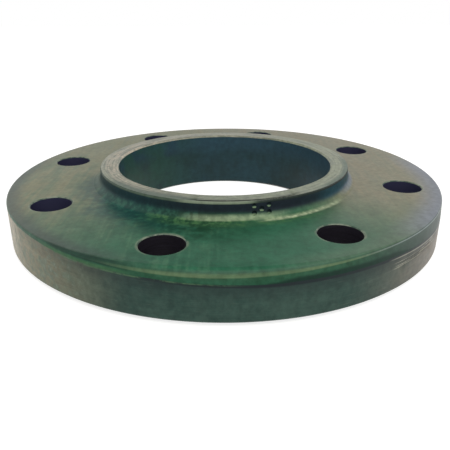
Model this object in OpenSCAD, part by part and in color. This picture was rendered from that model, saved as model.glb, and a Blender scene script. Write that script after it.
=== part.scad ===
// Slip on pipe flange: a forged plate and hub, turned at the rim, faced and bored, then drilled.
// The centre of the raised face is the origin, and the hub points along +Z. Sizes are in millimetres.

/* [Plate] */
// Diameter of the turned rim
flange_d = 228.6; // [216:0.1:260]
// Thickness from the raised face to the top of the plate
plate_t = 24.2; // [22:0.1:26]
// Diameter of the raised gasket face
face_d = 157.2; // [130:0.1:168]
// Height of the raised gasket face
face_h = 1.6; // [0.8:0.1:4]
// Edge break at the lower corner of the rim
rim_break = 0.8; // [0.2:0.1:2]

/* [Forged shoulder] */
// Radius of the forged corner at the top of the plate
shoulder_r = 3; // [1:0.1:4.5]
// Draft of the forged band above the turned rim, in degrees
shoulder_draft = 6; // [4:0.5:9]
// Mean height at which the forged band meets the turned rim
witness_z = 17.4; // [14:0.1:19]
// Sideways shift of the forging from the turned axis
forging_shift = 0.4; // [0.1:0.05:0.6]

/* [Hub] */
// Diameter of the hub where its wall meets the plane of the plate top
hub_d = 135; // [129:0.1:148]
// Height of the hub end above the raised face
hub_h = 32; // [30.5:0.1:44]
// Draft of the hub wall, in degrees
hub_draft = 5; // [1:0.5:8]
// Radius of the fillet between hub and plate
fillet_r = 4.5; // [2:0.1:5.5]
// Radius of the round at the outer edge of the hub end
hub_round = 1.5; // [0.5:0.1:2]

/* [Bore] */
// Diameter of the bore the pipe slips into
bore_d = 116.1; // [100:0.1:121]
// Edge break at both ends of the bore
bore_break = 0.6; // [0.2:0.1:1.5]

/* [Bolt holes] */
// Distance of the hole centres in from the rim
bolt_edge = 19.05; // [16:0.05:25]
// Diameter of each bolt hole
bolt_hole_d = 19.05; // [12:0.05:22]
// Number of bolt holes, straddling the centre lines
bolt_holes = 8; // [4:4:16]
// Edge break at both ends of a bolt hole
hole_break = 0.4; // [0.1:0.1:1]

/* [Hidden] */
$fn = 144;
hole_fn = 48;
// Overlap that carries a cut past the face it opens
past = 1;

flange_r = flange_d / 2;
face_r = face_d / 2;
bore_r = bore_d / 2;
hub_r = hub_d / 2;
bolt_circle_r = flange_r - bolt_edge;
bolt_hole_r = bolt_hole_d / 2;
bolt_pitch = 360 / bolt_holes;

// Radius of the drafted band of the forging at a height
function band_r(z) = flange_r - (z - witness_z) * tan(shoulder_draft);

// Radius of the drafted wall of the hub at a height
function wall_r(z) = hub_r - (z - plate_t) * tan(hub_draft);

// Centre of the shoulder corner, tangent to the plate top and to the drafted band
shoulder_cz = plate_t - shoulder_r;
shoulder_cx = band_r(shoulder_cz) - shoulder_r / cos(shoulder_draft);

// Centre of the round at the hub end, tangent to the end face and to the hub wall
round_cz = hub_h - hub_round;
round_cx = wall_r(round_cz) - hub_round / cos(hub_draft);

// Centre of the fillet, tangent to the plate top and to the hub wall
fillet_cz = plate_t + fillet_r;
fillet_cx = wall_r(fillet_cz) + fillet_r / cos(hub_draft);

// Half section of the plate of the forging, with its drafted edge and round corner
module plate_section() {
    polygon([
        [0, -past],
        [band_r(-past), -past],
        [shoulder_cx + shoulder_r * cos(shoulder_draft), shoulder_cz + shoulder_r * sin(shoulder_draft)],
        [shoulder_cx, plate_t],
        [0, plate_t]
    ]);
    translate([shoulder_cx, shoulder_cz])
        circle(r = shoulder_r);
}

// Half section of the hub of the forging, with its drafted wall and round corner
module hub_section() {
    polygon([
        [0, 0],
        [wall_r(0), 0],
        [round_cx + hub_round * cos(hub_draft), round_cz + hub_round * sin(hub_draft)],
        [round_cx, hub_h],
        [0, hub_h]
    ]);
    translate([round_cx, round_cz])
        circle(r = hub_round);
}

// Half section of the fillet between hub wall and plate top
module fillet_section() {
    difference() {
        polygon([
            [bore_r, plate_t - past],
            [fillet_cx, plate_t - past],
            [fillet_cx, plate_t],
            [fillet_cx - fillet_r * cos(hub_draft), fillet_cz - fillet_r * sin(hub_draft)],
            [bore_r, fillet_cz - fillet_r * sin(hub_draft)]
        ]);
        translate([fillet_cx, fillet_cz])
            circle(r = fillet_r);
    }
}

// Forged blank, shifted a little to one side of the turned axis
module forging() {
    translate([-forging_shift, 0, 0])
        rotate_extrude() {
            plate_section();
            hub_section();
            fillet_section();
        }
}

// Turned envelope: the rim, its lower edge break and the raised face
module turned_envelope() {
    rotate_extrude()
        polygon([
            [0, 0],
            [face_r, 0],
            [face_r, face_h],
            [flange_r - rim_break, face_h],
            [flange_r, face_h + rim_break],
            [flange_r, hub_h + past],
            [0, hub_h + past]
        ]);
}

// Bore with an edge break at each end
module bore_cut() {
    rotate_extrude()
        polygon([
            [0, -past],
            [bore_r + bore_break + past, -past],
            [bore_r, bore_break],
            [bore_r, hub_h - bore_break],
            [bore_r + bore_break + past, hub_h + past],
            [0, hub_h + past]
        ]);
}

// One drilled bolt hole with an edge break at each end
module bolt_hole_cut() {
    rotate_extrude($fn = hole_fn)
        polygon([
            [0, -past],
            [bolt_hole_r + hole_break + face_h + past, -past],
            [bolt_hole_r, face_h + hole_break],
            [bolt_hole_r, plate_t - hole_break],
            [bolt_hole_r + hole_break + past, plate_t + past],
            [0, plate_t + past]
        ]);
}

// Ring of bolt holes, the first half a pitch from the X axis
module bolt_hole_cuts() {
    for (i = [0 : bolt_holes - 1])
        rotate([0, 0, (i + 0.5) * bolt_pitch])
            translate([bolt_circle_r, 0, 0])
                bolt_hole_cut();
}

// The whole flange, one piece of steel
module flange() {
    color([0.16, 0.29, 0.22])
        difference() {
            intersection() {
                forging();
                turned_envelope();
            }
            bore_cut();
            bolt_hole_cuts();
        }
}

flange();
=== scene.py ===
"""Slip on pipe flange: a forged blank, turned, faced, bored and drilled, then dipped in thin green varnish.

The piece is made the way the real one is. Half sections of the forging, of the lathe's cuts and of the
drill are drawn as lines, a Geometry Nodes tree sweeps them round, pushes the forging a little off centre,
and cuts it with the lathe's envelope, the drill and a punch. Sizes are in millimetres until its last steps.
"""

from __future__ import annotations

import logging
import math
from dataclasses import dataclass, field
from enum import Enum
from functools import reduce
from operator import add, mul
from typing import Optional, Sequence, Union

import bpy
from mathutils import Matrix, Vector


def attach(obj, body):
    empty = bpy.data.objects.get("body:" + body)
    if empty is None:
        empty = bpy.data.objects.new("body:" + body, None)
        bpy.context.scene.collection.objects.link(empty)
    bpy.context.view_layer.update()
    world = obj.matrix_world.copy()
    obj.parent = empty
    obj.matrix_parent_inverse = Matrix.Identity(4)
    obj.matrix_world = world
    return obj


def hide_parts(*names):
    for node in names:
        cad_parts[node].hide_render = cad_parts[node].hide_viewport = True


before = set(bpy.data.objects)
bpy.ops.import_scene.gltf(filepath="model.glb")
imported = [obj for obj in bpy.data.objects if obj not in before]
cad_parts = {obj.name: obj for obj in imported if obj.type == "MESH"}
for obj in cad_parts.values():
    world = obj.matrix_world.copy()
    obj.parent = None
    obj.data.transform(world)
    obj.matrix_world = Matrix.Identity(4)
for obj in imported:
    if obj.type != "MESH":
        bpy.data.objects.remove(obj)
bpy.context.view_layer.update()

MM = 0.001
PICTURE_SIDE = 450
LOG = logging.getLogger("flange")

Colour = tuple[float, float, float]
Pair = tuple[float, float]
Value = Union["Field", bpy.types.NodeSocket, bpy.types.Material, float, int, str, bool, Sequence[float]]


def heading(azimuth: float) -> tuple[float, float, float]:
    """The level way towards an azimuth in degrees, one long."""
    turn = math.radians(azimuth)
    return (math.cos(turn), math.sin(turn), 0.0)


def sky_way(azimuth: float, elevation: float) -> Vector:
    """The way towards a place in the sky, from its azimuth and its elevation in degrees."""
    rise = math.radians(elevation)
    x, y, _ = heading(azimuth)
    return Vector((x * math.cos(rise), y * math.cos(rise), math.sin(rise)))


def looking_back(way: Vector, stand: Vector) -> Matrix:
    """The place and the turn of what stands at a point and looks back along a way."""
    return Matrix.Translation(stand) @ way.to_track_quat("Z", "Y").to_matrix().to_4x4()


def in_scene(name: str, data: bpy.types.ID) -> bpy.types.Object:
    """Makes an object and puts it in the scene.

    Args:
        name: The object's name.
        data: Its mesh, lamp or camera.

    Returns:
        The object.
    """
    made = bpy.data.objects.new(name, data)
    bpy.context.scene.collection.objects.link(made)
    return made


class Tool(Enum):
    """The shop tool that left a face, as the number that the face carries."""

    FORGE = 0
    LATHE = 1
    DRILL = 2
    PUNCH = 3


class Field:
    """A node's output that takes part in sums; each operator adds one node to the graph."""

    def __init__(self, graph: Graph, socket: bpy.types.NodeSocket) -> None:
        """Keeps the graph and the socket that the value comes out of."""
        self.graph = graph
        self.socket = socket

    def __add__(self, other: Value) -> Field:
        """Sum."""
        return self.graph.math("ADD", self, other)

    __radd__ = __add__

    def __sub__(self, other: Value) -> Field:
        """Difference."""
        return self.graph.math("SUBTRACT", self, other)

    def __rsub__(self, other: Value) -> Field:
        """Difference, taken from a number."""
        return self.graph.math("SUBTRACT", other, self)

    def __mul__(self, other: Value) -> Field:
        """Product."""
        return self.graph.math("MULTIPLY", self, other)

    __rmul__ = __mul__

    def __truediv__(self, other: Value) -> Field:
        """Quotient."""
        return self.graph.math("DIVIDE", self, other)

    def __rtruediv__(self, other: Value) -> Field:
        """Quotient of a number and the value."""
        return self.graph.math("DIVIDE", other, self)

    def __lt__(self, other: Value) -> Field:
        """One where the value is the lower one."""
        return self.graph.math("LESS_THAN", self, other)

    def __gt__(self, other: Value) -> Field:
        """One where the value is the higher one."""
        return self.graph.math("GREATER_THAN", self, other)

    def clamp(self) -> Field:
        """The value held between zero and one."""
        return self.graph.math("ADD", self, 0.0, clamp=True)

    def step(self, low: float, high: float) -> Field:
        """A smooth step from zero at low to one at high."""
        return self.graph.smooth(self, low, high)

    def near(self, centre: float, width: float) -> Field:
        """One at the centre, falling smoothly to zero a width away on both sides."""
        return self.graph.smooth(self.graph.math("ABSOLUTE", self - centre), width, 0.0)


class Graph:
    """A node tree with short ways to add and join nodes, for geometry and for shaders alike."""

    def __init__(self, tree: bpy.types.NodeTree) -> None:
        """Keeps the tree."""
        self.tree = tree

    def plug(self, node: bpy.types.Node, key: Union[str, int], value: Value) -> None:
        """Joins a value to an input, or sets the input to it.

        Args:
            node: The node that takes the value.
            key: The input's name or place.
            value: A field, a socket or a plain value; a list of fields for an input that takes several.
        """
        socket = node.inputs[key]
        if isinstance(value, list):
            for one in value:
                self.tree.links.new(one.socket, socket)
        elif isinstance(value, Field):
            self.tree.links.new(value.socket, socket)
        elif isinstance(value, bpy.types.NodeSocket):
            self.tree.links.new(value, socket)
        else:
            socket.default_value = value

    def node(self, kind: str, inputs: dict[Union[str, int], Value], **settings: object) -> bpy.types.Node:
        """Adds a node.

        Args:
            kind: The node's type.
            inputs: A value for each input that is named or counted.
            settings: The node's own options.

        Returns:
            The new node.
        """
        made = self.tree.nodes.new(kind)
        for name, option in settings.items():
            setattr(made, name, option)
        for key, value in inputs.items():
            self.plug(made, key, value)
        return made

    def field(self, kind: str, inputs: dict[Union[str, int], Value], out: Union[str, int] = 0,
              **settings: object) -> Field:
        """Adds a node and gives one of its outputs as a field."""
        return Field(self, self.node(kind, inputs, **settings).outputs[out])

    def math(self, operation: str, *values: Value, clamp: bool = False) -> Field:
        """Adds a Math node over up to three values."""
        return self.field("ShaderNodeMath", dict(enumerate(values)), operation=operation, use_clamp=clamp)

    def smooth(self, value: Value, low: float, high: float) -> Field:
        """A smooth step from zero at low to one at high; low may be the larger."""
        inputs = {"Value": value, "From Min": low, "From Max": high}
        return self.field("ShaderNodeMapRange", inputs, interpolation_type="SMOOTHSTEP")

    def vector(self, x: Value, y: Value, z: Value) -> Field:
        """A vector from three values."""
        return self.field("ShaderNodeCombineXYZ", {0: x, 1: y, 2: z})

    def split(self, vector: Value) -> tuple[Field, Field, Field]:
        """The three parts of a vector."""
        made = self.node("ShaderNodeSeparateXYZ", {0: vector})
        return tuple(Field(self, socket) for socket in made.outputs[:3])

    def vector_math(self, operation: str, *values: Value) -> Field:
        """Adds a Vector Math node."""
        return self.field("ShaderNodeVectorMath", dict(enumerate(values)), operation=operation)

    def scale(self, vector: Value, factor: Value) -> Field:
        """A vector times a number."""
        return self.field("ShaderNodeVectorMath", {0: vector, "Scale": factor}, operation="SCALE")

    def dot(self, first: Value, second: Value) -> Field:
        """The dot product of two vectors."""
        return self.field("ShaderNodeVectorMath", {0: first, 1: second}, "Value", operation="DOT_PRODUCT")

    def noise(self, vector: Value, scale: float, detail: float = 2.0, rough: float = 0.5) -> Field:
        """Cloudy noise about one half.

        Args:
            vector: Where it is read.
            scale: Clouds per unit of length.
            detail: How many finer layers are added.
            rough: How strong the finer layers are.

        Returns:
            The noise, from zero to one.
        """
        inputs = {"Vector": vector, "Scale": scale, "Detail": detail, "Roughness": rough}
        return self.field("ShaderNodeTexNoise", inputs)

    def mottle(self, colour: Field, place: Value, scale: float, depth: float) -> Field:
        """Varies the strength of a colour from spot to spot.

        Args:
            colour: The colour.
            place: Where the spots are read.
            scale: Spots per unit of length.
            depth: How far the strength swings.

        Returns:
            The mottled colour.
        """
        spots = self.noise(place, scale, detail=3.0, rough=0.6)
        return self.scale(colour, (spots - 0.5) * (2.0 * depth) + 1.0)

    def blend(self, factor: Value, first: Value, second: Value) -> Field:
        """A colour between two colours."""
        made = self.node("ShaderNodeMix", {}, data_type="RGBA")
        for place, value in ((0, factor), (6, first), (7, second)):
            wide = (*value, 1.0) if isinstance(value, tuple) else value
            self.plug(made, place, wide)
        return Field(self, made.outputs[2])


class PolarCoordinates:
    """Object coordinates of a flange in millimetres, with the radius, the way out and the level.

    The level is one on a face that points up, zero on a wall and minus one underneath.
    """

    def __init__(self, graph: Graph) -> None:
        """Adds the coordinate nodes.

        Args:
            graph: The shader's graph.
        """
        self.graph = graph
        seat = graph.field("ShaderNodeTexCoord", {}, "Object")
        self.place = graph.scale(seat, 1.0 / MM)
        self.x, self.y, self.z = graph.split(self.place)
        flat = graph.vector(self.x, self.y, 0.0)
        self.r = graph.field("ShaderNodeVectorMath", {0: flat}, "Value", operation="LENGTH")
        _, _, self.level = graph.split(graph.field("ShaderNodeNewGeometry", {}, "Normal"))
        self.way = graph.field("ShaderNodeVectorMath", {0: flat}, operation="NORMALIZE")

    def spokes(self, count: float, along: Value, drift: float) -> Field:
        """A place at which noise makes streaks along a line and many of them round the axis.

        Args:
            count: The radius of the circle, in noise clouds, on which the streaks stand.
            along: The length that the streaks run along.
            drift: Clouds per millimetre along a streak.

        Returns:
            The place, as a vector.
        """
        wx, wy, _ = self.graph.split(self.graph.scale(self.way, count))
        return self.graph.vector(wx, wy, along * drift)

    def rings(self, across: Value, pitch: float, slow: float) -> Field:
        """A place at which noise makes fine lines round the axis, a pitch apart."""
        wx, wy, _ = self.graph.split(self.graph.scale(self.way, slow))
        return self.graph.vector(wx, wy, across * (1.0 / pitch))

    def towards(self, azimuth: float) -> Field:
        """One in the direction of an azimuth in degrees, and minus one opposite."""
        return self.graph.dot(self.way, heading(azimuth))

    def along(self, azimuth: float) -> Field:
        """The distance from the axis along an azimuth in degrees."""
        return self.graph.dot(self.place, heading(azimuth))

    def brushed(self, azimuth: float, pitch: float, length: float) -> Field:
        """A place at which noise makes parallel strokes along an azimuth, a pitch apart and a length long."""
        across = self.along(azimuth - 90.0) * (1.0 / pitch)
        return self.graph.vector(across, self.along(azimuth) * (1.0 / length), 0.0)

    def from_hole(self, count: int, circle_r: float) -> Field:
        """The distance from the axis of the nearest bolt hole.

        Args:
            count: How many holes there are.
            circle_r: The radius of the circle that they stand on.

        Returns:
            The distance in millimetres.
        """
        half = math.pi / count
        turn = self.graph.math("ARCTAN2", self.y, self.x) - half
        apart = self.graph.math("COSINE", self.graph.math("WRAP", turn, half, -half))
        square = self.r * self.r + circle_r * circle_r - self.r * apart * (2.0 * circle_r)
        return self.graph.math("SQRT", square)


@dataclass(frozen=True)
class Coat:
    """What a finish's own nodes give: the colour, the noise that the gloss goes with and the relief."""

    colour: Field
    shine: Field
    height: Field


@dataclass(frozen=True)
class Finish:
    """What every finish shares: a Principled shader whose colour, gloss and relief its own nodes drive.

    Fields: the material's name; the mean roughness and its swing; the specular level; how far it is metal;
    the depth of the relief in millimetres; and the spots that vary the colour, with their count per
    millimetre and their depth.
    """

    name: str = "finish"
    rough: float = 0.4
    rough_swing: float = 0.3
    specular: float = 0.5
    metal: float = 0.0
    relief: float = 0.02
    spot_scale: float = 0.4
    spot_depth: float = 0.0

    def material(self) -> bpy.types.Material:
        """Makes the material.

        Returns:
            The material, with its nodes.
        """
        made = bpy.data.materials.new(self.name)
        made.use_nodes = True
        graph = Graph(made.node_tree)
        shader = next(n for n in made.node_tree.nodes if n.type == "BSDF_PRINCIPLED")
        at = PolarCoordinates(graph)
        coat = self.dress(at)
        colour = coat.colour
        if self.spot_depth > 0.0:
            colour = graph.mottle(colour, at.place, self.spot_scale, self.spot_depth)
        bump = {"Strength": 1.0, "Distance": self.relief * MM, "Height": coat.height}
        graph.plug(shader, "Base Color", colour)
        graph.plug(shader, "Roughness", (coat.shine - 0.5) * self.rough_swing + self.rough)
        graph.plug(shader, "Specular IOR Level", self.specular)
        graph.plug(shader, "Metallic", self.metal)
        graph.plug(shader, "Normal", graph.field("ShaderNodeBump", bump, "Normal"))
        return made

    def dress(self, at: PolarCoordinates) -> Coat:
        """Gives the coat; each finish has its own."""
        raise NotImplementedError


@dataclass(frozen=True)
class Ramp:
    """A smooth step: the value at which it is zero and the one at which it is full, higher or lower."""

    zero: float
    full: float

    def of(self, value: Field) -> Field:
        """The step, read at a value."""
        return value.step(self.zero, self.full)


@dataclass(frozen=True)
class Sway:
    """A share that goes with a mask: what it is where the mask is zero and where the mask is one."""

    low: float
    high: float

    def of(self, mask: Field) -> Field:
        """The share, read at a mask."""
        return mask * (self.high - self.low) + self.low


@dataclass(frozen=True)
class Sector:
    """A stretch round the axis: its middle in degrees, and the cosines at which it starts and is full."""

    azimuth: float
    start: float
    full: float

    def share(self, at: PolarCoordinates) -> Field:
        """One inside the stretch, and zero well outside it."""
        return at.towards(self.azimuth).step(self.start, self.full)


@dataclass(frozen=True)
class Layer:
    """A colour that lies on a part of the flange.

    Fields: the colour; its strength; the stretch that it keeps to; and the ramps of the radius, of the height
    and of the level that fade it in and out.
    """

    colour: Colour
    strength: float = 1.0
    sector: Optional[Sector] = None
    radius: tuple[Ramp, ...] = ()
    height: tuple[Ramp, ...] = ()
    level: tuple[Ramp, ...] = ()

    def share(self, at: PolarCoordinates, *masks: Field) -> Value:
        """How much of the colour shows.

        Args:
            at: The flange's coordinates.
            masks: Fields that thin the colour further.

        Returns:
            The share, from zero to one.
        """
        parts = list(masks)
        if self.sector is not None:
            parts.append(self.sector.share(at))
        for value, ramps in ((at.r, self.radius), (at.z, self.height), (at.level, self.level)):
            parts += [ramp.of(value) for ramp in ramps]
        return reduce(mul, parts, self.strength)

    def over(self, at: PolarCoordinates, below: Value, *masks: Field) -> Field:
        """Lays the colour over another one.

        Args:
            at: The flange's coordinates.
            below: The colour below.
            masks: Fields that thin the layer.

        Returns:
            The colour with the layer on it.
        """
        return at.graph.blend(self.share(at, *masks), below, self.colour)


@dataclass(frozen=True)
class EdgeBulge:
    """A stretch where the forging's edge stands out a little, and how far the witness line rises there."""

    sector: Sector
    rise: float


EDGE_BULGES = (EdgeBulge(Sector(-20.0, 0.30, 0.80), 2.2), EdgeBulge(Sector(-168.0, 0.72, 0.95), 1.5))


@dataclass(frozen=True)
class WitnessLine:
    """The wavy line round the rim above which the lathe has left the forging as it was."""

    mean_z: float = 17.4
    swing: float = 3.9
    low_azimuth: float = 2.5
    bulges: tuple[EdgeBulge, ...] = EDGE_BULGES

    def above(self, at: PolarCoordinates) -> Field:
        """How far a place is above the line.

        Args:
            at: The flange's coordinates.

        Returns:
            The height in millimetres, below zero under the line.
        """
        above = at.z - self.mean_z + at.towards(self.low_azimuth) * self.swing
        for bulge in self.bulges:
            above = above - bulge.sector.share(at) * bulge.rise
        return above


class Clouds:
    """What a set of named noises shares."""

    def mix(self, **shares: float) -> Field:
        """The sum of some of the noises, each with its share."""
        return reduce(add, [getattr(self, name) * share for name, share in shares.items()])


class VarnishClouds(Clouds):
    """The uneven spread of a varnish, from broad clouds to fine brush strokes."""

    def __init__(self, at: PolarCoordinates, brush_azimuth: float) -> None:
        """Adds the noise nodes.

        Args:
            at: The flange's coordinates.
            brush_azimuth: The direction of the brush strokes, in degrees.
        """
        noise = at.graph.noise
        wide = at.brushed(brush_azimuth, pitch=9.0, length=60.0)
        fine = at.brushed(brush_azimuth, pitch=2.2, length=45.0)
        self.cloud = noise(at.place, scale=0.035, detail=3.0, rough=0.55)
        self.patch = noise(at.place, scale=0.11, detail=3.0, rough=0.55)
        self.spots = noise(at.place, scale=0.40, detail=2.0, rough=0.55)
        self.broad = noise(wide, scale=1.0, detail=2.0, rough=0.5)
        self.strokes = noise(fine, scale=1.0, detail=1.5, rough=0.55)
        self.ripple = noise(at.place, scale=0.20, detail=0.0)


class LatheClouds(Clouds):
    """The lathe's fine lines round the rim, and the blotches, grain and clouds of what lies on them."""

    def __init__(self, at: PolarCoordinates) -> None:
        """Adds the noise nodes.

        Args:
            at: The flange's coordinates.
        """
        noise = at.graph.noise
        self.lines = noise(at.rings(at.z + at.r, pitch=0.35, slow=6.0), scale=1.0, detail=2.0, rough=0.6)
        self.blotch = noise(at.place, scale=0.22, detail=4.0, rough=0.65)
        self.grain = noise(at.place, scale=0.42, detail=2.0, rough=0.6)
        self.cloud = noise(at.place, scale=0.035, detail=2.0, rough=0.5)


@dataclass(frozen=True)
class VarnishPoolAndShade:
    """The varnish that has pooled round the hub, most of it at the front left, with its jade spots, darkened
    further as painted shade there.
    """

    # Dark pooled varnish, darkened further as painted shade round the hub's foot.
    deep: Colour = (0.006, 0.040, 0.018)
    blue: Layer = Layer((0.009, 0.056, 0.049), 1.0, Sector(-165.0, 0.45, 0.90))
    jade: Layer = Layer((0.026, 0.115, 0.078), 0.55, Sector(-133.0, 0.72, 0.95))
    spotted: Ramp = Ramp(0.44, 0.64)
    side: Sector = Sector(-138.0, 0.55, 0.93)
    reach: Ramp = Ramp(93.0, 74.0)
    fray: float = 18.0
    lean_side: Sector = Sector(-178.0, 0.80, 0.98)
    lean_in: float = 8.0

    def over(self, at: PolarCoordinates, spread: VarnishClouds, below: Field) -> Field:
        """Lays the pooled varnish and its painted shade over the plate's colour.

        Args:
            at: The flange's coordinates.
            spread: The spread of the varnish.
            below: The colour below.

        Returns:
            The colour with the pooled varnish and its painted shade.
        """
        edge = at.r + (spread.patch - 0.5) * self.fray + self.lean_side.share(at) * self.lean_in
        pooled = self.blue.over(at, self.deep)
        pooled = self.jade.over(at, pooled, self.spotted.of(spread.mix(spots=0.6, patch=0.4)))
        return at.graph.blend(self.reach.of(edge) * self.side.share(at), below, pooled)


@dataclass(frozen=True)
class PlateVarnish:
    """The varnish on the plate's top: green at the front, dry and streaky at the sides under a painted
    reflection, pale near the front right edge, with a painted reflection at the right edge and painted shade
    at the left edge.
    """

    thick: Colour = (0.015, 0.088, 0.047)
    middle: Colour = (0.027, 0.122, 0.068)
    # Dry varnish at the two sides, made paler as a painted reflection of grazing light.
    left_dry_and_sheen: Colour = (0.183, 0.184, 0.104)
    right_dry_and_sheen: Colour = (0.206, 0.187, 0.118)
    fresh: Layer = Layer((0.060, 0.165, 0.090), 0.55, Sector(-128.0, 0.80, 0.95))
    # Paler near the edge at the front right.
    pale_edge: Layer = Layer((0.135, 0.170, 0.120), 0.34, Sector(-60.0, 0.86, 0.97), radius=(Ramp(103.0, 112.0),))
    # Painted reflection: a cool blue-grey near the edge at the right.
    painted_sheen: Layer = Layer((0.165, 0.185, 0.230), 0.90, Sector(-23.0, 0.79, 0.96), radius=(Ramp(99.0, 113.0),))
    # Painted shade: darker near the edge at the left.
    painted_edge_shade: Layer = Layer((0.050, 0.072, 0.062), 0.80, Sector(-160.0, 0.55, 0.92), radius=(Ramp(104.0, 113.0),))
    hole_ring: Layer = Layer((0.190, 0.225, 0.165), 0.55)
    # Pooled varnish round the hub's foot, with painted shade.
    pool_and_shade: VarnishPoolAndShade = VarnishPoolAndShade()
    cover: Ramp = Ramp(0.34, 0.60)
    fresh_strokes: Ramp = Ramp(0.50, 0.64)
    right_half: Sector = Sector(0.0, -0.3, 0.3)
    right_drier: float = 0.015
    # Green where the plate faces the front; dry, and paler with a painted reflection, away from it.
    green_azimuth: float = -95.0
    dry_and_sheen_fade: Ramp = Ramp(0.99, 0.39)
    dry_strength: float = 1.02
    dry_strokes: Ramp = Ramp(0.36, 0.62)
    streaky_side: Sector = Sector(-140.0, 0.0, 0.8)
    streaks: Sway = Sway(0.26, 0.58)
    hole_count: int = 8
    hole_circle: float = 95.25
    hole_rim: float = 10.2
    hole_rim_w: float = 0.75
    hole_rim_gaps: Ramp = Ramp(0.42, 0.60)

    def colour(self, at: PolarCoordinates, spread: VarnishClouds) -> Field:
        """The colour of the plate's top.

        Args:
            at: The flange's coordinates.
            spread: The spread of the varnish.

        Returns:
            The colour.
        """
        cover = self.cover.of(spread.mix(cloud=0.25, broad=0.25, strokes=0.2, patch=0.3))
        colour = at.graph.blend(cover, self.thick, self.middle)
        colour = self.fresh.over(at, colour, self.fresh_strokes.of(spread.mix(strokes=0.5, patch=0.5)))
        # Dry sides under a painted reflection of grazing light.
        colour = self.dry_and_sheen_sides(at, spread, colour)
        colour = self.pool_and_shade.over(at, spread, colour)
        # A paler band near the front right edge, a painted reflection at the right edge and painted shade at
        # the left edge.
        for layer in (self.pale_edge, self.painted_sheen, self.painted_edge_shade):
            colour = layer.over(at, colour)
        ring = at.from_hole(self.hole_count, self.hole_circle).near(self.hole_rim, self.hole_rim_w)
        return self.hole_ring.over(at, colour, ring, self.hole_rim_gaps.of(spread.patch))

    def dry_and_sheen_sides(self, at: PolarCoordinates, spread: VarnishClouds, colour: Field) -> Field:
        """Dries the varnish away from the front, in streaks, and pales it there as a painted reflection of
        grazing light.

        Args:
            at: The flange's coordinates.
            spread: The spread of the varnish.
            colour: The colour of the wet varnish.

        Returns:
            The colour with its dry sides under the painted reflection.
        """
        right = self.right_half.share(at)
        # Both sides' colours carry a painted reflection of grazing light as well as the dry varnish.
        dry_and_sheen_tone = at.graph.blend(right, self.left_dry_and_sheen, self.right_dry_and_sheen)
        dry = self.dry_and_sheen_fade.of(at.towards(self.green_azimuth) - right * self.right_drier)
        wet = 1.0 - self.dry_strokes.of(spread.mix(patch=0.3, broad=0.25, strokes=0.45))
        streaks = self.streaks.of(self.streaky_side.share(at))
        return at.graph.blend(dry * (self.dry_strength - wet * streaks), colour, dry_and_sheen_tone)


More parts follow.
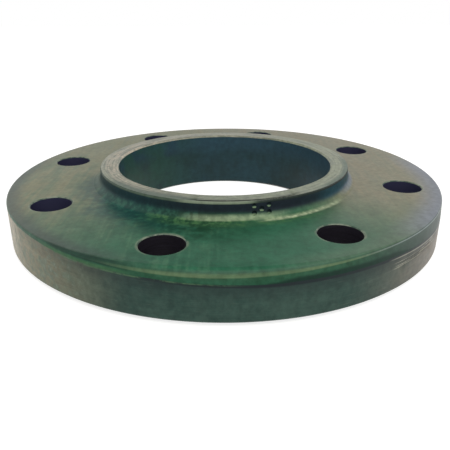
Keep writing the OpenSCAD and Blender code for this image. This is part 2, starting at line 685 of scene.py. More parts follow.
@dataclass(frozen=True)
class HubVarnish:
    """The varnish on the hub: painted shade on its wall, a painted highlight with frothy flecks in its
    fillet, painted reflections of the sky at its right, and a lip that is partly bare, with a painted
    highlight at the front.
    """

    # Painted shade on the hub wall: near black at the front and teal towards the sides, fading into the
    # fillet.
    scale: Colour = (0.010, 0.017, 0.025)
    teal: Layer = Layer((0.010, 0.037, 0.044), 0.95, Sector(-90.0, 0.98, 0.62))
    wall_end: Ramp = Ramp(0.20, 0.80)
    left_side: Sector = Sector(-150.0, 0.60, 0.95)
    left_lift: float = 0.08
    front_side: Sector = Sector(-112.0, 0.85, 0.98)
    front_lift: float = 0.16
    flecked: Ramp = Ramp(0.43, 0.60)
    # Green flecks at the fillet's foot at the front, which also carry the lower fringe of the painted fillet
    # highlight.
    moss: Layer = Layer((0.052, 0.135, 0.052), 1.0, Sector(-94.0, 0.78, 0.93),
                        radius=(Ramp(78.5, 72.0),), level=(Ramp(0.70, 0.90),))
    moss_flecks: Sway = Sway(0.25, 0.95)
    # Painted highlight along the fillet at the front, broken into frothy flecks.
    froth_and_highlight: Layer = Layer((0.240, 0.315, 0.190), 1.0,
                         radius=(Ramp(77.0, 74.0),), level=(Ramp(0.30, 0.72), Ramp(0.975, 0.87)))
    highlight_side: Sector = Sector(-93.0, 0.92, 0.995)
    highlight_spread: Sway = Sway(0.04, 0.90)
    froth_flecks: Sway = Sway(0.75, 1.0)
    # Painted highlight: bright yellow-white glints on the fillet's crest at the front right.
    ridge: Layer = Layer((0.400, 0.465, 0.300), 1.0, Sector(-65.0, 0.92, 0.985), level=(Ramp(0.62, 0.88),))
    ridge_r: float = 71.2
    ridge_w: float = 1.9
    ridge_flecks: Sway = Sway(0.60, 0.95)
    # Painted reflection of the sky: dark blue on the wall and the fillet at the right.
    painted_sky_reflection: Layer = Layer((0.010, 0.060, 0.088), 0.8, Sector(-30.0, 0.86, 0.98), level=(Ramp(0.75, 0.30),))
    # Painted reflection of the sky: pale blue on the fillet at the right.
    painted_sheen: Layer = Layer((0.135, 0.180, 0.255), 0.6, Sector(-12.0, 0.84, 0.98),
                         level=(Ramp(0.15, 0.5), Ramp(0.98, 0.8)))
    lip_green: Colour = (0.052, 0.084, 0.058)
    lip_dark: Layer = Layer((0.012, 0.022, 0.018), 1.0, Sector(-20.0, 0.25, 0.50))
    # The lip at the front: bare steel with a painted highlight on its round.
    lip_bare_and_highlight: Layer = Layer((0.175, 0.220, 0.155), 1.0, Sector(-101.0, 0.955, 0.985))
    lip_z: Ramp = Ramp(30.75, 31.1)

    def colour(self, at: PolarCoordinates, spread: VarnishClouds, ground: Field) -> Field:
        """The colour of the hub's wall, of its fillet and of its lip.

        Args:
            at: The flange's coordinates.
            spread: The spread of the varnish.
            ground: The colour of the plate, into which the fillet runs.

        Returns:
            The colour.
        """
        # The painted wall shade ends lower at the left and at the front.
        lift = self.left_side.share(at) * self.left_lift + self.front_side.share(at) * self.front_lift
        colour = at.graph.blend(self.wall_end.of(at.level + lift), self.teal.over(at, self.scale), ground)
        flecks = self.flecked.of(spread.mix(spots=0.65, patch=0.35))
        colour = self.moss.over(at, colour, self.moss_flecks.of(flecks))
        # The painted fillet highlight, spread widest at the front.
        spread_out = self.highlight_spread.of(self.highlight_side.share(at))
        colour = self.froth_and_highlight.over(at, colour, spread_out, self.froth_flecks.of(flecks))
        # The crest where the painted glints lie.
        crest = at.r.near(self.ridge_r, self.ridge_w)
        colour = self.ridge.over(at, colour, crest, self.ridge_flecks.of(flecks))
        # Painted reflections of the sky on the hub's right.
        colour = self.painted_sheen.over(at, self.painted_sky_reflection.over(at, colour))
        lip = self.lip_bare_and_highlight.over(at, self.lip_dark.over(at, self.lip_green))
        return at.graph.blend(self.lip_z.of(at.z), colour, lip)


EDGE_SHADOW: Colour = (0.002, 0.023, 0.014)


@dataclass(frozen=True)
class EdgeVarnish:
    """The varnish on the plate's corner and on the drafted band below it, with painted shade on the band and
    painted highlights along the corner.
    """

    pooled: Colour = (0.009, 0.062, 0.030)
    lean: Colour = (0.020, 0.086, 0.048)
    cover: Ramp = Ramp(0.38, 0.62)
    grey: Layer = Layer((0.026, 0.044, 0.038), 0.9, Sector(-18.0, 0.45, 0.92))
    witness: WitnessLine = WitnessLine()
    shadow_side: Sector = Sector(-72.0, 0.945, 0.985)
    shadow_h: float = 2.6
    shadow_fade: Ramp = Ramp(-0.3, 1.3)
    line: Layer = Layer(EDGE_SHADOW, 0.7, Sector(-58.0, 0.80, 0.95))
    line_fade: Ramp = Ramp(0.8, 0.1)
    foot: Layer = Layer((0.042, 0.118, 0.050), 0.75, Sector(-127.0, 0.972, 0.996))
    foot_fade: Ramp = Ramp(1.7, 0.7)
    # Painted shade on the band just below the corner at the left.
    painted_corner_shade: Layer = Layer(EDGE_SHADOW, 0.75, Sector(-127.0, 0.972, 0.996), level=(Ramp(0.97, 0.85),))
    painted_corner_shade_fade: Ramp = Ramp(1.2, 2.1)
    band_start: Ramp = Ramp(0.92, 0.55)
    # The olive line along the front of the corner: thin varnish, and a painted highlight.
    corner: Layer = Layer((0.100, 0.160, 0.080), 1.0, Sector(-80.0, 0.70, 0.90),
                          level=(Ramp(0.69, 0.38), Ramp(0.05, 0.20)))
    corner_patches: Sway = Sway(0.35, 1.25)
    glint: Layer = Layer((0.205, 0.245, 0.265), 1.0, Sector(-30.0, 0.72, 0.92),
                         level=(Ramp(0.69, 0.38), Ramp(0.05, 0.20)))
    glint_patches: Sway = Sway(0.4, 1.2)

    def colour(self, at: PolarCoordinates, spread: VarnishClouds, plate: Field) -> Field:
        """The colour of the corner and of the band.

        Args:
            at: The flange's coordinates.
            spread: The spread of the varnish.
            plate: The colour of the plate's top.

        Returns:
            The colour.
        """
        cover = self.cover.of(spread.mix(cloud=0.4, patch=0.4, spots=0.2))
        band = self.grey.over(at, at.graph.blend(cover, self.pooled, self.lean))
        above = self.witness.above(at)
        shadow = self.shadow_fade.of(self.shadow_side.share(at) * self.shadow_h - above)
        shadow = shadow + self.line.share(at, self.line_fade.of(above))
        band = at.graph.blend(shadow, band, EDGE_SHADOW)
        band = self.foot.over(at, band, self.foot_fade.of(above))
        colour = at.graph.blend(self.band_start.of(at.level), plate, band)
        # Painted shade below the corner at the left, then the painted highlight and the painted glint along
        # the corner.
        colour = self.painted_corner_shade.over(at, colour, self.painted_corner_shade_fade.of(above))
        colour = self.corner.over(at, colour, self.corner_patches.of(spread.patch))
        return self.glint.over(at, colour, self.glint_patches.of(spread.patch))


@dataclass(frozen=True)
class ForgedVarnish(Finish):
    """Thin green varnish over forged steel: deep round the hub, dry at the sides, thin at the edges; painted
    shade on the hub wall, round its foot and on the edge, painted highlights in the fillet and on the corner,
    painted reflections at the sides.
    """

    name: str = "green_varnish_forged"
    plate: PlateVarnish = PlateVarnish()
    hub: HubVarnish = HubVarnish()
    edge: EdgeVarnish = EdgeVarnish()
    brush_azimuth: float = 82.5
    hub_r: float = 80.0
    corner_r: float = 108.0
    rough: float = 0.37
    rough_swing: float = 0.2
    specular: float = 0.26
    relief: float = 0.03
    spot_scale: float = 0.40
    spot_depth: float = 0.45

    def dress(self, at: PolarCoordinates) -> Coat:
        """Lays the varnish on the plate, on its edge and on the hub."""
        spread = VarnishClouds(at, self.brush_azimuth)
        plate = self.plate.colour(at, spread)
        colour = at.graph.blend(at.r < self.hub_r, plate, self.hub.colour(at, spread, plate))
        colour = at.graph.blend(at.r > self.corner_r, colour, self.edge.colour(at, spread, colour))
        return Coat(colour, shine=spread.mix(strokes=0.4, cloud=0.3, patch=0.3), height=spread.ripple)


RIM_SHADE: Colour = (0.004, 0.012, 0.014)
BARE_SCRATCH: Colour = (0.54, 0.53, 0.43)


@dataclass(frozen=True)
class TurnedVarnish(Finish):
    """The same varnish on the turned rim: greyer, with fine lines round it, blotches and dusty sides, paled
    further by a painted reflection of grazing light.
    """

    name: str = "green_varnish_turned"
    thick: Colour = (0.013, 0.042, 0.033)
    thin: Colour = (0.034, 0.072, 0.057)
    cover: Ramp = Ramp(0.36, 0.62)
    # Dusty tone at the two sides, paled further by a painted reflection of grazing light; at the far left, a
    # painted reflection alone.
    left_dust_and_sheen: Layer = Layer((0.318, 0.270, 0.162), 1.0, Sector(-175.0, 0.49, 1.0))
    painted_far_sheen: Layer = Layer((0.500, 0.430, 0.320), 0.9, Sector(-170.0, 0.92, 0.985))
    right_dust_and_sheen: Layer = Layer((0.240, 0.190, 0.150), 1.0, Sector(-2.0, 0.30, 0.95))
    dust_grain: Ramp = Ramp(0.34, 0.60)
    dust_depth: Sway = Sway(0.55, 1.0)
    patina: Layer = Layer((0.070, 0.128, 0.098), 0.75, Sector(-149.0, 0.88, 0.98))
    patina_grain: Ramp = Ramp(0.42, 0.62)
    chalk: Layer = Layer((0.290, 0.300, 0.235), 0.36, Sector(-149.0, 0.88, 0.98))
    chalk_grain: Ramp = Ramp(0.53, 0.68)
    witness: WitnessLine = WitnessLine()
    shade_line: Layer = Layer(RIM_SHADE, 0.8, Sector(-60.0, 0.50, 0.78))
    shade_line_fade: Ramp = Ramp(1.7, 0.4)
    shade_wide: Layer = Layer(RIM_SHADE, 0.56, Sector(-60.0, -0.2, 0.6))
    shade_wide_fade: Ramp = Ramp(9.0, 0.0)
    rubbed: Layer = Layer((0.055, 0.125, 0.062), 0.9, Sector(-128.0, 0.80, 0.93))
    rubbed_depth: float = 0.3
    rubbed_w: float = 0.65
    rubbed_gaps: Ramp = Ramp(0.35, 0.60)
    scored: Layer = Layer(BARE_SCRATCH, 0.75, Sector(-51.0, 0.982, 0.994),
                          height=(Ramp(11.4, 12.2), Ramp(15.1, 14.6)))
    scored_lines: Ramp = Ramp(0.50, 0.62)
    ridge: Layer = Layer(BARE_SCRATCH, 0.5, Sector(-49.0, 0.968, 0.988))
    ridge_depth: float = 1.1
    ridge_w: float = 0.45
    fine_lines: Layer = Layer(BARE_SCRATCH, 0.2)
    fine_grain: Ramp = Ramp(0.68, 0.80)
    rough: float = 0.42
    specular: float = 0.2
    spot_scale: float = 0.38
    spot_depth: float = 0.40

    def dress(self, at: PolarCoordinates) -> Coat:
        """Lays the varnish on in blotches over the lathe's lines, thin and dusty at the two sides."""
        marks = LatheClouds(at)
        cover = self.cover.of(marks.mix(blotch=0.4, cloud=0.3, lines=0.15, grain=0.15))
        colour = self.weather(at, marks, at.graph.blend(cover, self.thick, self.thin))
        colour = self.score(at, marks, self.darken(at, marks, colour))
        return Coat(colour, shine=marks.blotch, height=marks.mix(lines=0.3, cloud=0.7))

    def weather(self, at: PolarCoordinates, marks: LatheClouds, colour: Field) -> Field:
        """Adds the dusty tone of both sides under a painted reflection of grazing light, a painted reflection
        at the far left, and the green patina and the chalky flecks of the left one.

        Args:
            at: The flange's coordinates.
            marks: The lathe's lines and the blotches.
            colour: The colour below.

        Returns:
            The weathered colour.
        """
        dusty = self.dust_depth.of(self.dust_grain.of(marks.mix(blotch=0.45, lines=0.3, grain=0.25)))
        # The dusty sides with their painted reflection, and the painted reflection at the far left.
        colour = self.left_dust_and_sheen.over(at, colour, dusty)
        colour = self.painted_far_sheen.over(at, colour)
        colour = self.right_dust_and_sheen.over(at, colour, dusty)
        colour = self.patina.over(at, colour, self.patina_grain.of(marks.mix(blotch=0.6, grain=0.4)))
        return self.chalk.over(at, colour, self.chalk_grain.of(marks.mix(grain=0.6, blotch=0.4)))

    def darken(self, at: PolarCoordinates, marks: LatheClouds, colour: Field) -> Field:
        """Darkens the rim below the witness line, and rubs it bright there at the left.

        Args:
            at: The flange's coordinates.
            marks: The lathe's lines and the blotches.
            colour: The colour below.

        Returns:
            The darkened colour.
        """
        under = 0.0 - self.witness.above(at)
        line = self.shade_line.share(at, self.shade_line_fade.of(under))
        wide = self.shade_wide.share(at, self.shade_wide_fade.of(under))
        colour = at.graph.blend(line + wide, colour, RIM_SHADE)
        bright = under.near(self.rubbed_depth, self.rubbed_w)
        return self.rubbed.over(at, colour, bright, self.rubbed_gaps.of(marks.blotch))

    def score(self, at: PolarCoordinates, marks: LatheClouds, colour: Field) -> Field:
        """Draws the tool's bright scratches, the ridge above them and the fine lines all round.

        Args:
            at: The flange's coordinates.
            marks: The lathe's lines and the blotches.
            colour: The colour below.

        Returns:
            The scored colour.
        """
        under = 0.0 - self.witness.above(at)
        scored = self.scored.share(at, self.scored_lines.of(marks.lines))
        ridge = self.ridge.share(at, under.near(self.ridge_depth, self.ridge_w))
        colour = at.graph.blend(scored + ridge, colour, BARE_SCRATCH)
        return self.fine_lines.over(at, colour, self.fine_grain.of(marks.lines))


FACE_BORDER: Colour = (0.080, 0.125, 0.090)


@dataclass(frozen=True)
class FacedSteel(Finish):
    """Faced steel under a trace of varnish: pale, with the facing tool's fine rings."""

    name: str = "green_varnish_faced"
    olive: Colour = (0.28, 0.31, 0.22)
    tan: Layer = Layer((0.365, 0.36, 0.28), 1.0, Sector(85.0, -0.8, 0.3))
    pink: Layer = Layer((0.51, 0.44, 0.34), 1.0, Sector(-178.0, 0.2, 0.95), radius=(Ramp(66.0, 63.6),))
    pink_grain: Ramp = Ramp(0.47, 0.66)
    pink_depth: Sway = Sway(0.4, 1.0)
    straw: Layer = Layer((0.26, 0.29, 0.19), 0.75, Sector(2.0, 0.35, 0.90))
    stain: Layer = Layer((0.15, 0.175, 0.13), 0.85)
    stain_grain: Ramp = Ramp(0.56, 0.40)
    left_border: Layer = Layer(FACE_BORDER, 0.8, Sector(-130.0, 0.88, 0.975), radius=(Ramp(62.2, 64.6),))
    right_border: Layer = Layer(FACE_BORDER, 0.85, Sector(-30.0, 0.87, 0.96), radius=(Ramp(63.4, 65.6),))
    # Painted shade in the groove at the front of the faced end.
    painted_groove_shade: Layer = Layer((0.008, 0.014, 0.008), 1.0, Sector(-89.0, 0.90, 0.97))
    groove_shade_r: float = 65.9
    groove_shade_w: float = 1.4
    groove_shade_grain: Ramp = Ramp(0.30, 0.50)
    groove_shade_depth: Sway = Sway(0.7, 1.0)
    metal: float = 0.45
    rough: float = 0.38
    spot_scale: float = 0.55
    spot_depth: float = 0.55

    def dress(self, at: PolarCoordinates) -> Coat:
        """Draws the rings, the stains of the varnish and the painted shade in the groove."""
        noise = at.graph.noise
        rings = noise(at.rings(at.r, pitch=1.0, slow=3.0), scale=1.0, detail=2.0, rough=0.6)
        stains = noise(at.place, scale=0.22, detail=4.0, rough=0.65)
        flush = self.pink_grain.of(noise(at.place, scale=0.45, detail=2.0, rough=0.55))
        colour = self.pink.over(at, self.tan.over(at, self.olive), self.pink_depth.of(flush))
        colour = self.straw.over(at, colour)
        colour = self.stain.over(at, colour, self.stain_grain.of(rings * 0.65 + stains * 0.35))
        colour = self.right_border.over(at, self.left_border.over(at, colour))
        # Painted shade along the groove.
        groove = at.r.near(self.groove_shade_r, self.groove_shade_w)
        colour = self.painted_groove_shade.over(at, colour, groove, self.groove_shade_depth.of(self.groove_shade_grain.of(stains)))
        return Coat(colour, shine=stains, height=rings)


@dataclass(frozen=True)
class BoreVarnish(Finish):
    """Dark varnish that has run down the bored wall."""

    name: str = "green_varnish_bore"
    thick: Colour = (0.007, 0.028, 0.030)
    thin: Colour = (0.014, 0.046, 0.060)
    cover: Ramp = Ramp(0.34, 0.66)
    upper: Layer = Layer((0.020, 0.056, 0.082), 0.7, height=(Ramp(18.0, 27.0),))
    moss: Layer = Layer((0.014, 0.060, 0.036), 0.7, Sector(168.0, 0.25, 0.90))
    moss_grain: Ramp = Ramp(0.30, 0.55)
    rough: float = 0.42
    rough_swing: float = 0.25
    specular: float = 0.25
    relief: float = 0.015
    spot_scale: float = 0.35
    spot_depth: float = 0.40

    def dress(self, at: PolarCoordinates) -> Coat:
        """Draws the boring tool's lines and the runs of varnish."""
        noise = at.graph.noise
        lines = noise(at.rings(at.z, pitch=0.5, slow=4.0), scale=1.0, detail=2.0, rough=0.6)
        runs = noise(at.spokes(14.0, at.z, drift=0.035), scale=1.0, detail=2.0, rough=0.5)
        cloud = noise(at.place, scale=0.06, detail=3.0, rough=0.55)
        cover = self.cover.of(runs * 0.2 + cloud * 0.6 + lines * 0.2)
        colour = self.upper.over(at, at.graph.blend(cover, self.thick, self.thin))
        colour = self.moss.over(at, colour, self.moss_grain.of(cloud))
        return Coat(colour, shine=cloud, height=lines)


@dataclass(frozen=True)
class DrilledSteel(Finish):
    """The wall of a drilled hole, with the drill's lines: dark steel, darkened to near black as painted shade
    inside the hole.
    """

    name: str = "drilled_wall"
    # Near black: dark steel with painted shade inside the hole.
    deep: Colour = (0.004, 0.002, 0.006)
    pale: Colour = (0.012, 0.010, 0.018)
    line_grain: Ramp = Ramp(0.35, 0.70)
    blue: Layer = Layer((0.023, 0.024, 0.060), 1.0, Sector(90.0, -0.75, -0.42))
    line_pitch: float = 1.0 / 3.0
    line_length: float = 10.0
    rough: float = 0.6
    rough_swing: float = 0.2
    specular: float = 0.3

    def dress(self, at: PolarCoordinates) -> Coat:
        """Draws the drill's lines."""
        across = 1.0 / self.line_length
        place = at.graph.vector(at.x * across, at.y * across, at.z * (1.0 / self.line_pitch))
        lines = at.graph.noise(place, scale=1.0, detail=2.0, rough=0.6)
        colour = at.graph.blend(self.line_grain.of(lines), self.deep, self.pale)
        return Coat(self.blue.over(at, colour), shine=lines, height=lines)


@dataclass(frozen=True)
class BareEdge(Finish):
    """The broken edge of a drilled hole, rubbed down to pale steel in places."""

    name: str = "bare_edge"
    steel: Colour = (0.19, 0.23, 0.17)
    stain: Colour = (0.03, 0.07, 0.045)
    rubbed: Ramp = Ramp(0.40, 0.60)
    rough: float = 0.45

    def dress(self, at: PolarCoordinates) -> Coat:
        """Mixes rubbed steel and stained edge."""
        patches = at.graph.noise(at.place, scale=0.25, detail=3.0, rough=0.6)
        colour = at.graph.blend(self.rubbed.of(patches), self.stain, self.steel)
        return Coat(colour, shine=patches, height=patches)


@dataclass
class SectionPoint:
    """A point of a half section.

    Fields: the radius and the height; the way that it moves for each millimetre of added corner radius;
    how deep a score is there, as a way, with the azimuth and the half width at which it shows; whether it
    follows the tilt of the plate top; the share of the forging's lumps that it takes; and whether it is on
    a steep face.
    """

    r: float
    z: float
    swell: Pair = (0.0, 0.0)
    score: Pair = (0.0, 0.0)
    score_at: Pair = (0.0, 1.0)
    lid: float = 0.0
    calm: float = 1.0
    wall: float = 0.0


def points_of(rows: list[Pair], **known: float) -> list[SectionPoint]:
    """Points of a half section that all know the same.

    Args:
        rows: Their radii and heights.
        known: What each of them knows besides.

    Returns:
        The points in order.
    """
    return [SectionPoint(r, z, **known) for r, z in rows]


def arc(centre: Pair, radius: float, start: float, end: float, steps: int) -> list[Pair]:
    """Points along an arc in a half section.

    Args:
        centre: The centre's radius and height.
        radius: The arc's radius.
        start: The angle of the first point, in degrees from the outward direction.
        end: The angle of the last point.
        steps: How many pieces the arc is made of.

    Returns:
        The points, both ends among them.
    """
    turns = (math.radians(start + (end - start) * i / steps) for i in range(steps + 1))
    return [(centre[0] + radius * math.cos(t), centre[1] + radius * math.sin(t)) for t in turns]


def run(first: Pair, last: Pair, steps: int) -> list[Pair]:
    """Points along a straight line, both ends left out.

    Args:
        first: The line's first end.
        last: The line's last end.
        steps: How many pieces the line is made of.

    Returns:
        The points between the ends.
    """
    shares = (i / steps for i in range(1, steps))
    return [(first[0] + (last[0] - first[0]) * s, first[1] + (last[1] - first[1]) * s) for s in shares]


@dataclass
class ForgedBlank:
    """The forging: a plate with a drafted edge and a rounded corner, and a drafted hub with its fillet."""

    rim_r: float = 114.3
    top_z: float = 24.2
    corner_r: float = 1.0
    corner_slack: float = 2.4
    slack_azimuth: float = -98.5
    slack_reach: float = 42.0
    edge_draft: float = 3.0
    witness_z: float = 17.4
    hub_r: float = 67.9
    hub_draft: float = 4.5
    fillet_r: float = 4.5
    hub_end: float = 33.0
    hub_round: float = 1.9
    core_r: float = 50.0
    foot_z: float = -4.0
    shift: float = 0.227
    shift_azimuth: float = -170.2
    tilt: float = 0.006
    tilt_azimuth: float = 56.2
    lump: float = 0.14
    lump_size: float = 22.0
    dimple: float = 0.05
    dimple_size: float = 5.0
    edge_calm: float = 0.2
    bulges: tuple[EdgeBulge, ...] = EDGE_BULGES
    edge_heights: tuple[float, ...] = (11.0, 12.5, 14.0, 15.2, 16.4)
    flat_r: float = 108.0
    foot_steps: int = 4
    corner_steps: int = 12
    flat_steps: int = 18
    fillet_steps: int = 10
    wall_steps: int = 3
    round_steps: int = 8
    end_steps: int = 5
    core_steps: int = 6

    def edge_r(self, z: float) -> float:
        """The radius of the drafted edge at a height."""
        return self.rim_r - (z - self.witness_z) * math.tan(math.radians(self.edge_draft))

    def wall_r(self, z: float) -> float:
        """The radius of the hub wall at a height."""
        return self.hub_r - (z - self.top_z) * math.tan(math.radians(self.hub_draft))

    def section(self) -> list[SectionPoint]:
        """The closed half section, from the foot outwards and up.

        Returns:
            Its points in order.
        """
        return self.edge_points() + self.corner_points() + self.hub_points()

    def edge_points(self) -> list[SectionPoint]:
        """The foot and the drafted edge, up to the corner.

        Returns:
            The points in order.
        """
        foot = (self.edge_r(self.foot_z), self.foot_z)
        rows = [(self.edge_r(z), z) for z in self.edge_heights]
        rows = run(foot, rows[0], self.foot_steps) + rows
        points = [SectionPoint(self.core_r, self.foot_z), SectionPoint(*foot, wall=1.0)]
        return points + points_of(rows, calm=self.edge_calm, wall=1.0)

    def corner_points(self) -> list[SectionPoint]:
        """The rounded corner, with the way that each point moves as the corner's radius grows.

        Returns:
            The points in order.
        """
        draft = math.radians(self.edge_draft)
        middle_z = self.top_z - self.corner_r
        middle = (self.edge_r(middle_z) - self.corner_r / math.cos(draft), middle_z)
        pull = math.tan(draft) - 1.0 / math.cos(draft)
        points = []
        for i, (r, z) in enumerate(arc(middle, self.corner_r, self.edge_draft, 90.0, self.corner_steps)):
            swell = ((r - middle[0]) / self.corner_r + pull, (z - middle[1]) / self.corner_r - 1.0)
            points.append(SectionPoint(r, z, swell=swell, calm=self.edge_calm, wall=float(i < 2)))
        return points

    def hub_points(self) -> list[SectionPoint]:
        """The plate's top, the fillet, the hub's wall and round, its end and the core below it.

        Returns:
            The points in order.
        """
        wall = math.radians(self.hub_draft)
        fillet_z = self.top_z + self.fillet_r
        fillet = (self.wall_r(fillet_z) + self.fillet_r / math.cos(wall), fillet_z)
        hollow = arc(fillet, self.fillet_r, 270.0, 180.0 + self.hub_draft, self.fillet_steps)
        round_z = self.hub_end - self.hub_round
        crown = (self.wall_r(round_z) - self.hub_round / math.cos(wall), round_z)
        lip = arc(crown, self.hub_round, self.hub_draft, 90.0, self.round_steps)
        end = (self.core_r, self.hub_end)
        points = points_of(run((self.flat_r, self.top_z), hollow[0], self.flat_steps))
        points += points_of(hollow[:1]) + points_of(hollow[1:], wall=1.0)
        points += points_of(run(hollow[-1], lip[0], self.wall_steps) + lip[:2], wall=1.0)
        points += points_of(lip[2:] + run(lip[-1], end, self.end_steps) + [end])
        return points + points_of(run(end, (self.core_r, self.foot_z), self.core_steps))


@dataclass
class LatheCuts:
    """What the lathe leaves: the rim, the bore, the faced hub end and the raised face with its rings."""

    rim_r: float = 114.3
    rim_break: float = 0.8
    face_r: float = 78.6
    face_h: float = 1.6
    face_break: float = 0.2
    bore_r: float = 58.05
    bore_break: float = 0.9
    end_z: float = 32.0
    ring_pitch: float = 0.8
    ring_depth: float = 0.05
    ring_margin: float = 0.8
    groove_r: float = 66.2
    groove_w: float = 1.0
    groove_d: float = 0.35
    groove_azimuth: float = -89.0
    groove_reach: float = 24.0
    score_heights: tuple[float, ...] = (14.2, 13.5, 12.8, 12.1)
    score_w: float = 0.35
    score_d: float = 0.1
    score_azimuth: float = -51.0
    score_reach: float = 9.0
    score_full: float = 0.6
    groove_shape: tuple[Pair, ...] = ((-1.0, 0.0), (-0.35, 1.0), (0.35, 1.0), (1.0, 0.0))
    score_shape: tuple[Pair, ...] = ((1.0, 0.0), (0.0, 1.0), (-1.0, 0.0))
    rim_heights: tuple[float, ...] = (7.5, 6.0, 4.5, 3.4)
    bore_steps: int = 12
    under_steps: int = 10

    def section(self) -> list[SectionPoint]:
        """The closed half section of what the lathe keeps.

        Returns:
            Its points in order, from the bore's foot up, over the end, down the rim and back along the face.
        """
        points = self.bore_points() + self.end_points() + self.rim_points() + self.face_points()
        return points[::-1]

    def bore_points(self) -> list[SectionPoint]:
        """The bore with its edge breaks, from the foot up."""
        lip = self.bore_r + self.bore_break
        low, high = (self.bore_r, self.bore_break), (self.bore_r, self.end_z - self.bore_break)
        return points_of([(lip, 0.0), low, *run(low, high, self.bore_steps), high, (lip, self.end_z)])

    def end_points(self) -> list[SectionPoint]:
        """The faced end with its groove, out to the rim.

        Returns:
            The points in order.
        """
        points = []
        for share, depth in self.groove_shape:
            radius = self.groove_r + share * self.groove_w / 2
            points.append(SectionPoint(radius, self.end_z, score=(0.0, -depth * self.groove_d),
                                       score_at=(self.groove_azimuth, self.groove_reach)))
        return points + [SectionPoint(self.rim_r, self.end_z)]

    def rim_points(self) -> list[SectionPoint]:
        """The rim with the tool's scores, and its lower edge break.

        Returns:
            The points in order, from the top down.
        """
        points = []
        for height in self.score_heights:
            for share, depth in self.score_shape:
                z = height + share * self.score_w / 2
                points.append(SectionPoint(self.rim_r, z, score=(-depth * self.score_d, 0.0),
                                           score_at=(self.score_azimuth, self.score_reach)))
        rows = [(self.rim_r, z) for z in (*self.rim_heights, self.face_h + self.rim_break)]
        return points + points_of(rows)

    def face_points(self) -> list[SectionPoint]:
        """The underside and the raised face with its rings, from the rim inwards.

        Returns:
            The points in order.
        """
        edge, step = (self.rim_r - self.rim_break, self.face_h), (self.face_r, self.face_h)
        rows = [edge, *run(edge, step, self.under_steps), step]
        rows += [(self.face_r, self.face_break), (self.face_r - self.face_break, 0.0)]
        start = self.face_r - self.ring_margin
        count = int((start - self.ring_margin - self.bore_r - self.bore_break) / self.ring_pitch)
        for i in range(count):
            radius = start - i * self.ring_pitch
            rows += [(radius, 0.0), (radius - self.ring_pitch / 2, self.ring_depth)]
        return points_of([*rows, (start - count * self.ring_pitch, 0.0)])


@dataclass
class BoltHoles:
    """The drilled ring of bolt holes, each with its edges broken at both ends."""

    count: int = 8
    circle_r: float = 95.25
    hole_r: float = 9.525
    edge_break: float = 0.4
    foot_z: float = 1.6
    top_z: float = 24.2
    over: float = 2.0
    side_steps: int = 8

    def section(self) -> list[SectionPoint]:
        """The half section of the cutter, open at the axis.

        Returns:
            Its points in order, from the foot up.
        """
        wide = self.hole_r + self.edge_break + self.over
        low, high = self.foot_z - self.over, self.top_z + self.over
        foot, top = (self.hole_r, self.foot_z + self.edge_break), (self.hole_r, self.top_z - self.edge_break)
        thick = self.top_z - self.foot_z
        points = points_of([(0.0, low), (wide, low), foot])
        for r, z in run(foot, top, self.side_steps):
            points.append(SectionPoint(r, z, lid=(z - self.foot_z) / thick))
        return points + points_of([top, (wide, high), (0.0, high)], lid=1.0)


@dataclass
class PunchMarks:
    """A plain group of punch marks on the hub wall, five as on a die."""

    azimuth: float = -83.5
    wall_r: float = 67.3
    middle_z: float = 28.2
    step_across: float = 3.4
    step_up: float = 1.7
    ball_r: float = 1.2
    stand_off: float = 0.55
    ball_segments: int = 20
    ball_rings: int = 12

    def places(self) -> list[Vector]:
        """Where the punch's ball stands for each mark.

        Returns:
            The ball's centres.
        """
        reach = self.wall_r + self.stand_off
        found = []
        for across, up in ((-1, -1), (1, -1), (0, 0), (-1, 1), (1, 1)):
            turn = math.radians(self.azimuth) + across * self.step_across / self.wall_r
            z = self.middle_z + up * self.step_up
            found.append(Vector((reach * math.cos(turn), reach * math.sin(turn), z)))
        return found


class CarrierMesh:
    """The lines of all half sections in one mesh, with what the tree has to know of each point."""

    def __init__(self) -> None:
        """Starts empty."""
        self.points: list[SectionPoint] = []
        self.places: list[Vector] = []
        self.tools: list[int] = []
        self.edges: list[tuple[int, int]] = []

    def add_line(self, tool: Tool, points: list[SectionPoint], closed: bool) -> None:
        """Adds a half section.

        Args:
            tool: The tool that it belongs to.
            points: Its points in order.
            closed: Whether its last point joins its first.
        """
        start = len(self.points)
        self.points += points
        self.places += [Vector((p.r, 0.0, p.z)) for p in points]
        self.tools += [tool.value] * len(points)
        last = len(points) if closed else len(points) - 1
        self.edges += [(start + i, start + (i + 1) % len(points)) for i in range(last)]

    def add_spots(self, tool: Tool, places: list[Vector]) -> None:
        """Adds loose points.

        Args:
            tool: The tool that they belong to.
            places: Where they are.
        """
        self.points += [SectionPoint(0.0, 0.0) for _ in places]
        self.places += places
        self.tools += [tool.value] * len(places)

    def mesh(self, name: str) -> bpy.types.Mesh:
        """Makes the mesh.

        Args:
            name: The mesh's name.

        Returns:
            The mesh, with an attribute for each thing that the points know.
        """
        made = bpy.data.meshes.new(name)
        made.from_pydata([tuple(p) for p in self.places], self.edges, [])
        made.attributes.new("line", "INT", "POINT").data.foreach_set("value", self.tools)
        for key in ("lid", "calm", "wall"):
            numbers = [getattr(point, key) for point in self.points]
            made.attributes.new(key, "FLOAT", "POINT").data.foreach_set("value", numbers)
        vectors = {
            "section": [(p.r, 0.0, p.z) for p in self.points],
            "swell": [(p.swell[0], 0.0, p.swell[1]) for p in self.points],
            "score": [(p.score[0], 0.0, p.score[1]) for p in self.points],
            "score_at": [(*map(math.radians, p.score_at), 0.0) for p in self.points],
        }
        for key, rows in vectors.items():
            flat = [number for row in rows for number in row]
            made.attributes.new(key, "FLOAT_VECTOR", "POINT").data.foreach_set("vector", flat)
        return made


